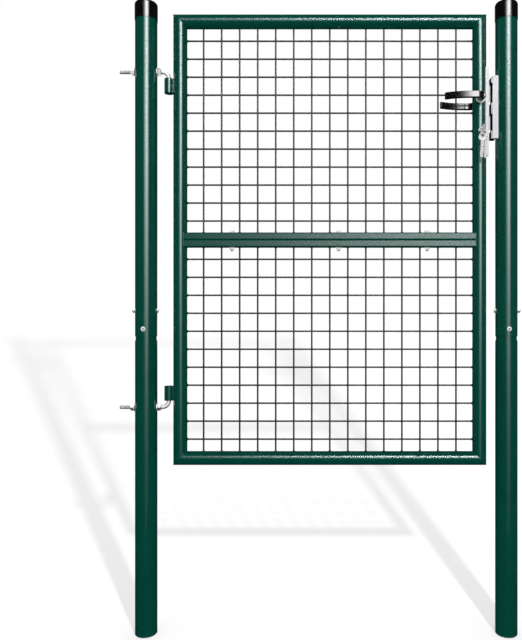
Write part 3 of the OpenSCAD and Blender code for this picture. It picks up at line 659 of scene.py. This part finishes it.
def carved(name, lo, hi, cuts, bevel, body, nodes):
    """A steel block cut by planes and then bevelled; each cut is (point, outward normal)."""
    bm = bmesh.new()
    bmesh.ops.create_cube(bm, size=1)
    for v in bm.verts:
        v.co = Vector([lo[i] + (v.co[i] + 0.5) * (hi[i] - lo[i]) for i in range(3)])
    for point, normal in cuts:
        geom = bm.verts[:] + bm.edges[:] + bm.faces[:]
        cut = bmesh.ops.bisect_plane(bm, geom=geom, plane_co=point, plane_no=normal,
                                     clear_outer=True)
        edges = [e for e in cut["geom_cut"] if isinstance(e, bmesh.types.BMEdge)]
        bmesh.ops.edgeloop_fill(bm, edges=edges)
    bmesh.ops.remove_doubles(bm, verts=bm.verts, dist=1e-6)
    bmesh.ops.bevel(bm, geom=bm.edges[:], offset=bevel, segments=3, profile=0.5,
                    affect="EDGES", clamp_overlap=True)
    bmesh.ops.recalc_face_normals(bm, faces=bm.faces)
    me = bpy.data.meshes.new(name)
    bm.to_mesh(me)
    bm.free()
    return piece(name, me, lock_steel, body, nodes, 30)


def corner_cuts(lo, hi):
    """Bevels of a bolt's two outer corners."""
    by = 2 * mm
    return [((hi.x - by, 0, lo.z), (1, 0, -1)), ((hi.x - by, 0, hi.z), (1, 0, 1))]


# the latch slopes back over most of what it shows, from just off the middle to one side
SLOPE_LENGTH = 5.6 * mm
tip, foot = Vector((latch_hi.x, -2 * mm, 0)), Vector((latch_hi.x - SLOPE_LENGTH, 6 * mm, 0))
run = foot - tip
carved("latch_bolt_body", latch_lo, latch_hi,
       corner_cuts(latch_lo, latch_hi) + [(tip, (run.y, -run.x, 0))], 0.35 * mm,
       "latch", ["latch_bolt"])
carved("dead_bolt_body", dead_lo, dead_hi, corner_cuts(dead_lo, dead_hi), 0.4 * mm,
       "deadbolt", ["dead_bolt"])


# ---- Levers ---------------------------------------------------------------------

def arc(centre, r, start, steps):
    """A quarter circle in 2-D from start, in degrees, in equal steps."""
    return [(centre[0] + r * math.cos(a), centre[1] + r * math.sin(a))
            for a in (math.radians(start + 90 * i / steps) for i in range(steps + 1))]


def even_steps(outline, step):
    """A closed outline in mm, with points added about a step apart, in metres."""
    dense = []
    for i, p in enumerate(outline):
        p, q = Vector(p), Vector(outline[(i + 1) % len(outline)])
        n = max(1, int((q - p).length / step))
        dense += [p.lerp(q, k / n) * mm for k in range(n)]
    return dense


def inset(outline, d):
    """A closed outline moved inwards by d."""
    count = len(outline)
    area = sum(p.x * outline[(i + 1) % count].y - outline[(i + 1) % count].x * p.y
               for i, p in enumerate(outline))
    sign = 1 if area > 0 else -1
    moved = []
    for i, p in enumerate(outline):
        t = (outline[(i + 1) % count] - outline[i - 1]).normalized()
        moved.append(p + Vector((-t.y, t.x)) * sign * d)
    return moved


def lever(node, side, name):
    """A lever on one side of the leaf. Its outline is drawn in mm from above, x from
    the spindle and y out from the leaf's middle plane, and then given its height."""
    lo, hi = box(node)
    out = max(abs(lo.y), abs(hi.y)) / mm
    length = (right_x - lo.x) / mm
    tip_out, thick, corner = 42.5, 11.0, 2.6
    # the outer face arches back from the elbow, where x is bend, to the tip
    bend, elbow = -16.0, 22.0

    def arch(x):
        return out - (out - tip_out) * ((bend - x) / (length + bend)) ** 2.6

    steps = 40
    grip = [bend - (length + bend) * (1 - (1 - i / steps) ** 1.4) for i in range(steps + 1)]
    outline = [(x, arch(x)) for x in grip if x > -length + corner]
    # the tip's two rounded corners
    tip = arch(-length)
    outline += arc((-length + corner, tip - corner + 0.4), corner, 90, 8)
    outline += arc((-length + corner, tip - thick + corner + 0.3), corner, 180, 8)
    # the inner face, drawn in a little towards the tip, and back to the elbow
    inner = [(x + 1.5 * i / steps, arch(x) - thick) for i, x in enumerate(grip)
             if -length + corner + 2 < x + 1.5 < -26]
    outline += reversed(inner)
    # a curve from the inner face into the neck
    curve = (-25, arch(-25) - thick), (-11, out - thick - 2), (-8.6, out - thick - 9)
    for t in (i / 8 for i in range(1, 9)):
        outline.append([(1 - t) ** 2 * a + 2 * t * (1 - t) * b + t * t * c
                        for a, b, c in zip(*curve)])
    outline += arc((bend, out - elbow), elbow, 0, 18)[:-1]
    outline = even_steps(outline, 2.5)

    half = (hi.z - lo.z) / 2 - 0.5 * mm
    edge = 1.1 * mm
    rows = [(edge * (1 - math.sin(a)), -half + edge * (1 - math.cos(a)))
            for a in (math.pi / 2 * k / 6 for k in range(7))]
    rows += [(d, -z) for d, z in reversed(rows)]
    shape = Shape()
    shape.rows([[(right_x + p.x, side * p.y, spindle_z + z) for p in inset(outline, d)]
                for d, z in rows])
    # the collar round the spindle: (radius, distance from the middle plane) in mm
    collar = [(7.6, 22.8), (8.6, 23.1), (9, 24), (9, 42), (8.4, 45), (6.5, 46.4)]
    shape.lathe([(r * mm, y * mm) for r, y in collar],
                along((right_x, 0, spindle_z), (0, side, 0)))
    o = shape.piece(name, black_lever, "handle", "black_lever", [node], 50)
    # one smooth skin over the grip and the collar
    remesh = o.modifiers.new("skin", "REMESH")
    remesh.mode = "VOXEL"
    remesh.voxel_size = 0.45 * mm
    remesh.use_smooth_shade = True
    soften = o.modifiers.new("soften", "SMOOTH")
    soften.factor = 0.5
    soften.iterations = 2
    me = evaluated(o)
    old = o.data
    o.modifiers.clear()
    o.data = me
    bpy.data.meshes.remove(old)
    me.name = name
    return o


front_grip = lever("front_lever", -1, "front_lever_grip")
rear_grip = lever("rear_lever", 1, "rear_lever_grip")


# ---- Keys -------------------------------------------------------------------------

KEY_T, BLADE_W = 2 * mm, 8.6 * mm
# the hole in a bow, and the width of the rim above it
LOCK_HOLE_R, SPARE_HOLE_R, BOW_RIM = 4.5 * mm, 4 * mm, 3.5 * mm
SPARE_BLADE = 45 * mm
# across the bow from the hole's edge to the rim: (share of the way, share of half the thickness)
BOW_FACE = [(0.0, 0.45), (0.03, 0.8), (0.08, 1.0), (0.26, 1.0), (0.32, 0.72), (0.66, 0.72),
            (0.73, 1.0), (0.9, 1.0), (0.965, 0.82), (1.0, 0.4)]
# across the blade from its back to its cuts, with a milled groove: the same shares
BLADE_FACE = [(0.0, 0.55), (0.05, 0.95), (0.3, 1.0), (0.36, 0.55), (0.52, 0.55), (0.58, 1.0),
              (0.95, 0.95), (1.0, 0.55)]
# depths in mm of the cuts along the blade, joined by slopes
CUTS = [0.0, 1.9, 0.6, 2.6, 1.2, 0.4, 2.2, 1.5, 0.0]


def key_shape(shape, place, bow_r, hole_r, hole_y, blade_l, cut=True):
    """A key in its own plane: bow centre at the origin, blade along -y, thickness along z."""
    sides = 72
    half = KEY_T / 2
    rows = []
    for s, k in BOW_FACE + [(s, -k) for s, k in reversed(BOW_FACE)]:
        row = []
        for j in range(sides):
            a = TAU * j / sides
            inner = Vector((hole_r * math.cos(a), hole_y + hole_r * math.sin(a)))
            outer = Vector((bow_r * math.cos(a), bow_r * math.sin(a)))
            p = inner.lerp(outer, s)
            row.append((p.x, p.y, k * half))
        rows.append(row)
    shape.rows(rows, place, loop=True)

    # the blade starts inside the bow's rim
    start = 3 * mm
    n = 60
    rows = []
    for i in range(n + 1):
        u = i / n
        y = -bow_r + start - u * (blade_l + start)
        f = u * (len(CUTS) - 1)
        k = min(int(f), len(CUTS) - 2)
        w = f - k
        depth = (CUTS[k] * (1 - w) + CUTS[k + 1] * w) * mm if cut and u > 0.2 else 0.0
        tip = max(0.0, (u - 0.94) / 0.06)
        left = -BLADE_W / 2 + tip * BLADE_W * 0.25
        right = min(BLADE_W / 2 - depth, BLADE_W / 2 - tip * BLADE_W * 0.3)
        face = [(left + (right - left) * s, y, k * half * 0.92) for s, k in BLADE_FACE]
        rows.append(face + [(x, y, -z) for x, y, z in reversed(face)])
    shape.rows(rows, place)


# the key in the lock stands upright, bow out of the lock along -Y
lo, hi = box("key")
bow_r = (hi.z - lo.z) / 2
bow_y = lo.y + bow_r
PLUG_R = 6.5 * mm
key_z = box("lock_plug")[0].z + PLUG_R
# the blade ends this far in front of the leaf's middle plane
BLADE_END = 7 * mm
# local x is row Z, local y is row -Y, local z is row X
upright = Matrix(((0, 0, 1, 0), (0, -1, 0, 0), (1, 0, 0, 0), (0, 0, 0, 1)))
in_lock = Shape()
key_shape(in_lock, Matrix.Translation((right_x, bow_y, key_z)) @ upright, bow_r, LOCK_HOLE_R,
          bow_r - BOW_RIM - LOCK_HOLE_R, -BLADE_END - (bow_y + bow_r), cut=False)
in_lock.piece("key_in_lock", key_steel, "lock_key", "key_steel", ["key"], 30)

# split ring: two flat turns side by side, and the step from one to the other
lo, hi = box("key_ring")
centre = (lo + hi) / 2
ring_r = (hi.z - lo.z) / 2 - 0.8 * mm
RING_TURN = math.radians(35)
across = Vector((math.cos(RING_TURN), math.sin(RING_TURN), 0))
normal = Vector((-math.sin(RING_TURN), math.cos(RING_TURN), 0))
# half the width and half the height of the flat wire, and how far a turn is off the middle
w, h, off = 0.58 * mm, 0.3 * mm, 0.31 * mm
section = ((-w, -h * 0.5), (-w * 0.7, -h), (w * 0.7, -h), (w, -h * 0.5),
           (w, h * 0.5), (w * 0.7, h), (-w * 0.7, h), (-w, h * 0.5))
rows = []
steps = 150
for i in range(steps + 1):
    turns = 2.0 * i / steps
    a = TAU * turns + 0.6
    ramp = min(1.0, max(0.0, (turns - 0.93) / 0.14))
    shift = -off + 2 * off * ramp
    out = across * math.cos(a) + Vector((0, 0, 1)) * math.sin(a)
    rows.append([Vector(centre) + out * (ring_r + dx) + normal * (shift + dy)
                 for dx, dy in section])
ring = Shape()
ring.rows(rows)
ring.piece("split_ring", key_steel, "key_bunch", "key_steel", ["key_ring"], 40)

# two spare keys that fan out below the ring
lo, hi = box("spare_keys")
ring_y = (lo.y + hi.y) / 2
FAN, SPREAD = math.radians(3), 1.6 * mm
hang = bow_r - BOW_RIM - SPARE_HOLE_R
# local x is row X, local y is row Z, local z is row -Y
facing = Matrix(((1, 0, 0, 0), (0, 0, -1, 0), (0, 1, 0, 0), (0, 0, 0, 1)))
spares = Shape()
for s in (-1, 1):
    hole = Vector((right_x + s * SPREAD / math.tan(RING_TURN), ring_y + s * SPREAD,
                   hi.z - bow_r + hang * math.cos(FAN)))
    place = (Matrix.Translation(hole) @ Matrix.Rotation(-s * FAN, 4, "Y") @ facing
             @ Matrix.Translation((0, -hang, 0)))
    key_shape(spares, place, bow_r, SPARE_HOLE_R, hang, SPARE_BLADE)
spares.piece("spare_key_pair", key_steel, "key_bunch", "key_steel", ["spare_keys"], 30)


# ---- Keep screws ---------------------------------------------------------------------

def dome(q):
    """The height of a keep screw's head at q = radius / its own radius."""
    return 0.4 * mm + 2.0 * mm * math.sqrt(max(0.0, 1 - (q * 0.99) ** 2)) ** 0.7


KEEP_SCREW_R = 4 * mm
lo, hi = box("keep_screws")
screws = Shape()
for z in (lo.z + KEEP_SCREW_R, hi.z - KEEP_SCREW_R):
    # from the back of the dome's edge the screw runs on into the insert
    screws.cross_head(along((lo.x + 2.4 * mm, 0, z), (-1, 0, 0), 0.7), KEEP_SCREW_R, dome,
                      depth=1.4 * mm, rim=-6 * mm)
screws.piece("keep_screw_heads", zinc_steel, "posts", "zinc_steel", ["keep_screws"], 35)


# ---- Floor, lights, world, camera ------------------------------------------------------

def mixed(t, factor, a, b):
    """Shader a where factor is 0 and shader b where it is 1."""
    return add_node(t, "ShaderNodeMixShader", {0: factor, 1: a, 2: b}).outputs[0]


def maths(t, operation, a, b):
    """The result of a Math node."""
    return add_node(t, "ShaderNodeMath", {0: a, 1: b}, operation=operation).outputs[0]


def eased(t, value, start, end, low, high):
    """Goes smoothly from low to high while value goes from start to end."""
    return add_node(t, "ShaderNodeMapRange", {
        "Value": value, "From Min": start, "From Max": end, "To Min": low, "To Max": high},
        interpolation_type="SMOOTHSTEP").outputs["Result"]


def added(t, a, b):
    """Both shaders together."""
    return add_node(t, "ShaderNodeAddShader", {0: a, 1: b}).outputs[0]


def quad(name, corners):
    """A mesh of one face."""
    me = bpy.data.meshes.new(name)
    me.from_pydata(corners, [], [(0, 1, 2, 3)])
    return me


# the camera sees a grey floor with a little light of its own, and the rest of the
# scene gets an even light from it
floor_me = quad("floor", [(-80, -80, 0), (80, -80, 0), (80, 80, 0), (-80, 80, 0)])
floor = put("floor", floor_me)
m = empty_material("floor")
t = m.node_tree
diffuse = add_node(t, "ShaderNodeBsdfDiffuse", {"Color": (0.5, 0.5, 0.5, 1)})
glow = add_node(t, "ShaderNodeEmission", {"Color": (1, 0.995, 1, 1), "Strength": 0.43})
fill = add_node(t, "ShaderNodeEmission", {"Strength": 0.8})
path = add_node(t, "ShaderNodeLightPath", {})
add_node(t, "ShaderNodeOutputMaterial", {"Surface": mixed(
    t, path.outputs["Is Camera Ray"], fill.outputs[0],
    added(t, diffuse.outputs[0], glow.outputs[0]))})
floor_me.materials.append(m)
floor.visible_glossy = False


def shine(o, m, glow):
    """Finishes an object that is only seen in the gloss: its material emits, and lets
    through what isn't lit by it."""
    t = m.node_tree
    clear = add_node(t, "ShaderNodeBsdfTransparent", {})
    add_node(t, "ShaderNodeOutputMaterial",
             {"Surface": added(t, glow.outputs[0], clear.outputs[0])})
    m.cycles.emission_sampling = "NONE"
    o.data.materials.append(m)
    o.visible_camera = False
    o.visible_diffuse = False
    o.visible_shadow = False


def soft_card(name, at, spread_x, spread_z, level, tint=(1, 1, 1, 1)):
    """A card seen only in the gloss. Its light fades from the middle as a bell curve
    with these two spreads, and the card ends at three times the spread."""
    wide, high = 3 * spread_x, 3 * spread_z
    card = put(name, quad(name, [
        (at.x - wide, at.y, at.z - high), (at.x - wide, at.y, at.z + high),
        (at.x + wide, at.y, at.z + high), (at.x + wide, at.y, at.z - high)]))
    m = empty_material(name)
    t = m.node_tree
    geo = add_node(t, "ShaderNodeNewGeometry", {})
    away = add_node(t, "ShaderNodeVectorMath", {0: geo.outputs["Position"], 1: at},
                    operation="SUBTRACT")
    share = add_node(t, "ShaderNodeVectorMath", {
        0: away.outputs[0],
        1: (1 / (spread_x * math.sqrt(2)), 0, 1 / (spread_z * math.sqrt(2)))},
        operation="MULTIPLY")
    square = add_node(t, "ShaderNodeVectorMath", {0: share.outputs[0], 1: share.outputs[0]},
                      operation="DOT_PRODUCT")
    bell = maths(t, "POWER", math.exp(-1), square.outputs["Value"])
    glow = add_node(t, "ShaderNodeEmission", {
        "Color": tint, "Strength": maths(t, "MULTIPLY", bell, level)})
    shine(card, m, glow)
    return card


# what shows in the gloss of the posts and stiles, of the rails, of the middle bars and
# of each lever; the light linking below gives each its own pieces
softbox = soft_card("softbox", Vector((1.85, -5.1, 4.64)), 1.18, 2.0, 11.5)
rail_card = soft_card("rail_card", Vector((4.67, -17.6, 11.06)), 4.23, 4.1, 11.0)
bar_card = soft_card("bar_card", Vector((1.95, -5.14, 1.9)), 1.36, 1.3, 3.0, (1, 0.93, 0.93, 1))
front_card = soft_card("front_card", Vector((1.75, -3.3, 2.7)), 0.45, 1.0, 11.0)
rear_card = soft_card("rear_card", Vector((1.25, -3.32, 2.7)), 0.6, 1.0, 12.0)

# bare metal has a room of its own to reflect: dark underfoot, light grey at eye height,
# white above
room_me = bpy.data.meshes.new("metal_room")
bm = bmesh.new()
bmesh.ops.create_uvsphere(bm, u_segments=24, v_segments=16, radius=12)
bm.to_mesh(room_me)
bm.free()
room = put("metal_room", room_me)
room.location = (0.5, 0, 0.9)
m = empty_material("metal_room")
t = m.node_tree
coord = add_node(t, "ShaderNodeTexCoord", {})
level = add_node(t, "ShaderNodeSeparateXYZ", {0: coord.outputs["Object"]}).outputs["Z"]
walls = eased(t, level, -11.5, -5.0, 0.0, 1.15)
ceiling = eased(t, level, 2.0, 10.0, 0.0, 0.75)
shine(room, m, add_node(t, "ShaderNodeEmission", {"Strength": maths(t, "ADD", walls, ceiling)}))

# the same soft light for the matt part of the surfaces
lamp = bpy.data.lights.new("key", "AREA")
lamp.shape = "RECTANGLE"
lamp.size, lamp.size_y = 2.0, 2.6
lamp.energy = 90
key_lamp = put("key", lamp)
key_lamp.location = (1.05, -3.2, 2.9)
aim = Vector((0.5, 0, 0.9)) - key_lamp.location
key_lamp.rotation_euler = aim.to_track_quat("-Z", "Y").to_euler()
key_lamp.visible_glossy = False

# a small lamp that gives the floor its long faint shadow and lights nothing else
lamp = bpy.data.lights.new("shadow_lamp", "POINT")
lamp.energy = 8
lamp.shadow_soft_size = 0.06
lamp.use_nodes = True
t = lamp.node_tree
glow = next(n for n in t.nodes if n.type == "EMISSION")
fall = add_node(t, "ShaderNodeLightFalloff", {"Strength": 1.0})
t.links.new(maths(t, "MULTIPLY", fall.outputs["Constant"], fall.outputs["Linear"]),
            glow.inputs["Strength"])
shadow_lamp = put("shadow_lamp", lamp)
shadow_lamp.location = (1.2, -2.43, 1.87)


def receivers(name, objects, include):
    """A light-linking collection that takes in, or leaves out, these objects."""
    c = bpy.data.collections.new(name)
    for i, o in enumerate(objects):
        c.objects.link(o)
        c.collection_objects[i].light_linking.link_state = "INCLUDE" if include else "EXCLUDE"
    return c


bare = (zinc_steel, lock_steel, nickel, key_steel)
metal = [o for o in bpy.data.objects
         if o.type == "MESH" and o.data.materials and o.data.materials[0] in bare]
rails = [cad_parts[n] for n in ("top_rail", "bottom_rail")]
bars = [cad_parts[n] for n in ("upper_middle_bar", "lower_middle_bar")]
for light, name, objects, include in (
        (shadow_lamp, "ground_only", [floor], True),
        (key_lamp, "not_ground", [floor], False),
        (softbox, "painted", [floor, front_grip, rear_grip] + metal + rails + bars, False),
        (rail_card, "rails_only", rails, True),
        (bar_card, "bars_only", bars, True),
        (front_card, "front_only", [front_grip], True),
        (rear_card, "rear_only", [rear_grip], True),
        (room, "metal_only", metal, True)):
    light.light_linking.receiver_collection = receivers(name, objects, include)

# world: white to the camera, an even fill for the matt part of the surfaces, and in
# the gloss almost nothing but a patch far behind the gate, above the floor's edge
FILL, FAINT = 0.85, 0.01
world = bpy.data.worlds.new("studio")
bpy.context.scene.world = world
world.use_nodes = True
t = world.node_tree
t.nodes.clear()


def flat(strength):
    """A white background of this strength."""
    return add_node(t, "ShaderNodeBackground",
                    {"Color": (1, 1, 1, 1), "Strength": strength}).outputs[0]


coord = add_node(t, "ShaderNodeTexCoord", {})
towards = add_node(t, "ShaderNodeSeparateXYZ", {0: coord.outputs["Generated"]})
back = eased(t, towards.outputs["Y"], 0.985, 0.999, FAINT, 1.0)
above = eased(t, towards.outputs["Z"], -0.06, -0.01, FAINT, 1.0)
path = add_node(t, "ShaderNodeLightPath", {})
gloss = maths(t, "MAXIMUM", path.outputs["Is Glossy Ray"], path.outputs["Is Transmission Ray"])
light = mixed(t, gloss, flat(FILL), flat(maths(t, "MULTIPLY", back, above)))
add_node(t, "ShaderNodeOutputWorld", {
    "Surface": mixed(t, path.outputs["Is Camera Ray"], light, flat(1.0))})

cam = bpy.data.cameras.new("camera")
cam.lens = 36.045
cam.sensor_width = 36
cam.shift_x = -0.102
camera = put("camera", cam)
camera.location = (0.5, -1.78, 0.87)
camera.rotation_euler = (math.pi / 2, 0, 0)
bpy.context.scene.camera = camera
bpy.context.scene.view_settings.view_transform = "Standard"
